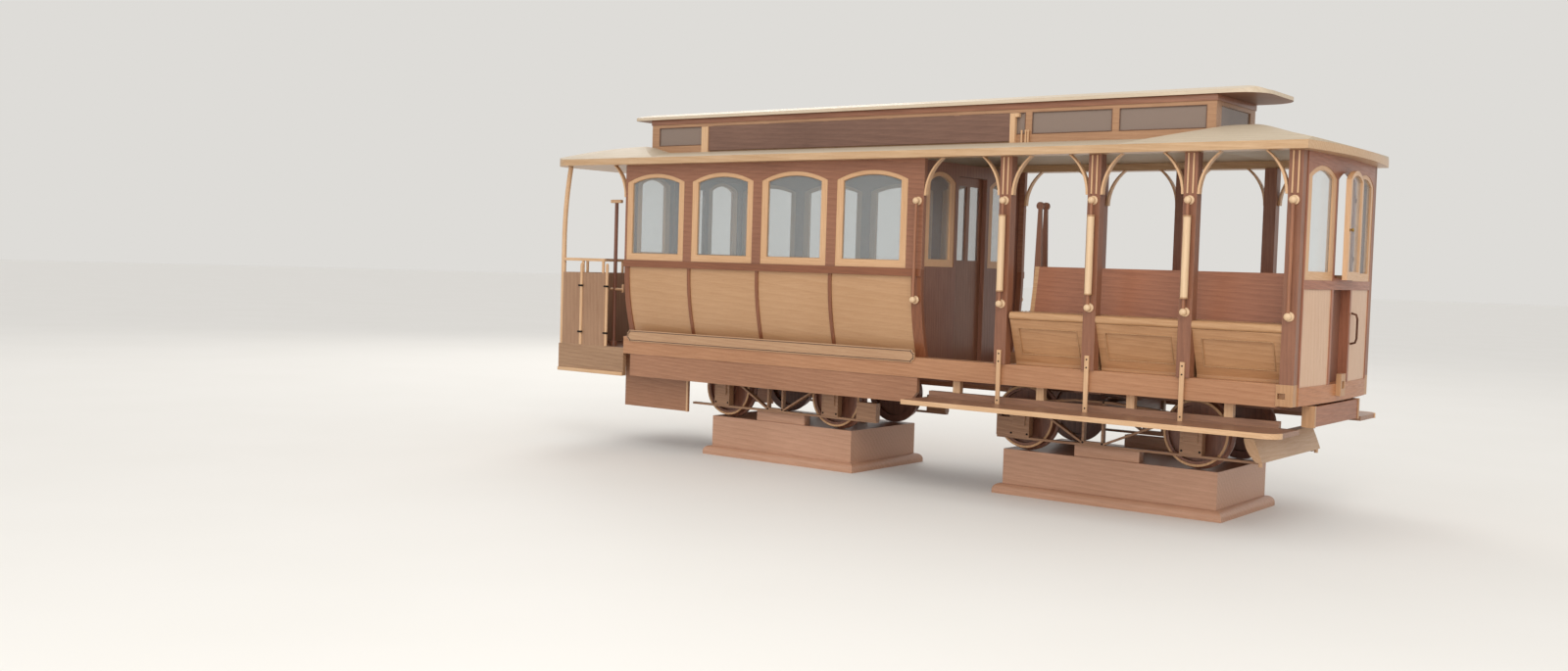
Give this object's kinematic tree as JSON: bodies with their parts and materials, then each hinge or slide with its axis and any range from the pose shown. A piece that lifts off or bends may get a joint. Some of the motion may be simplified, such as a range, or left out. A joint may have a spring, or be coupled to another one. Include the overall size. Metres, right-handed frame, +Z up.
{
  "type": "scale model of a single-ended street cable car on two support blocks",
  "caption": "Wooden scale model of a street cable car with closed cabin, open benches, swivelling trucks and a raised roof, standing on two support blocks.",
  "frame": {"origin": "centre of the overall footprint, on the level that the two blocks stand on", "axes": "+X to the front of the car, +Y to its left side, +Z up"},
  "size_m": [2.063, 0.664, 0.9],
  "materials": {
    "light_wood": "pale maple under clear satin varnish",
    "dark_wood": "mahogany under clear satin varnish",
    "brown_wood": "mid-brown wood under clear satin varnish",
    "red_wood": "dark reddish wood under satin varnish",
    "roof_wood": "pale wood, matt",
    "glass": "clear",
    "dark_metal": "dark metal"
  },
  "bodies": {
    "car": {"block_rear": "light_wood", "block_front": "light_wood", "underframe": "brown_wood", "floor": "brown_wood", "sills": "light_wood", "pocket_blocks": "light_wood", "skirt_planks": "brown_wood", "name_boards": "light_wood", "side_panels": "light_wood", "side_framing": "dark_wood", "window_walls": "dark_wood", "bulkheads": "dark_wood", "front_wall": "dark_wood", "front_dash": "light_wood", "front_door_panel": "dark_wood", "front_band": "brown_wood", "buffer_beam": "brown_wood", "sashes": "light_wood", "front_sashes": "light_wood", "window_glass": "glass", "cabin_benches": "light_wood", "posts": "dark_wood", "grab_rails": "light_wood", "grab_sleeves": "light_wood", "roof_brackets": "light_wood", "bench_frames": "light_wood", "bench_seats": "light_wood", "bench_backs": "red_wood", "bench_aprons": "light_wood", "running_boards": "dark_wood", "board_hangers": "light_wood", "platform_fascia": "light_wood", "rear_dash": "light_wood", "rear_posts": "light_wood", "platform_rail": "dark_wood", "brake_staff": "dark_wood", "step_boards": "dark_wood", "eaves": "light_wood", "roof_lower": "roof_wood", "clerestory_walls": "brown_wood", "clerestory_glass": "glass", "clerestory_roof": "roof_wood", "sign_boards": "dark_wood", "sign_brackets": "light_wood", "levers": "dark_metal"},
    "door_rear": {"door_rear": "brown_wood", "door_rear_glass": "glass"},
    "door_front": {"door_front": "brown_wood", "door_front_glass": "glass"},
    "front_casement": {"casement": "light_wood", "casement_glass": "glass"},
    "truck_rear": {"truck_sides_rear": "light_wood", "truck_bolster_rear": "brown_wood"},
    "truck_front": {"truck_sides_front": "light_wood", "truck_bolster_front": "brown_wood", "pilot": "light_wood"},
    "wheelset_rear_1": {"wheelset_rear_1": "red_wood"},
    "wheelset_rear_2": {"wheelset_rear_2": "red_wood"},
    "wheelset_front_1": {"wheelset_front_1": "red_wood"},
    "wheelset_front_2": {"wheelset_front_2": "red_wood"}
  },
  "joints": [
    {"name": "truck_rear_swivel", "type": "hinge", "parent": "car", "child": "truck_rear", "pos_m": [-0.3195, 0, 0.228], "axis": [0, 0, 1], "range_deg": [-6, 6]},
    {"name": "truck_front_swivel", "type": "hinge", "parent": "car", "child": "truck_front", "pos_m": [0.541, 0, 0.228], "axis": [0, 0, 1], "range_deg": [-6, 6]},
    {"name": "wheelset_rear_1_spin", "type": "hinge", "parent": "truck_rear", "child": "wheelset_rear_1", "pos_m": [-0.4895, 0, 0.1763], "axis": [0, 1, 0], "continuous": true},
    {"name": "wheelset_rear_2_spin", "type": "hinge", "parent": "truck_rear", "child": "wheelset_rear_2", "pos_m": [-0.1495, 0, 0.1763], "axis": [0, 1, 0], "continuous": true},
    {"name": "wheelset_front_1_spin", "type": "hinge", "parent": "truck_front", "child": "wheelset_front_1", "pos_m": [0.3665, 0, 0.1763], "axis": [0, 1, 0], "continuous": true},
    {"name": "wheelset_front_2_spin", "type": "hinge", "parent": "truck_front", "child": "wheelset_front_2", "pos_m": [0.7605, 0, 0.1763], "axis": [0, 1, 0], "continuous": true},
    {"name": "door_rear_slide", "type": "slide", "parent": "car", "child": "door_rear", "axis": [0, 1, 0], "range_m": [0, 0.125]},
    {"name": "door_front_slide", "type": "slide", "parent": "car", "child": "door_front", "axis": [0, 1, 0], "range_m": [0, 0.125]},
    {"name": "front_casement_swing", "type": "hinge", "parent": "car", "child": "front_casement", "pos_m": [1.0035, 0.064, 0.6], "axis": [0, 0, 1], "range_deg": [-5, 85]}
  ]
}
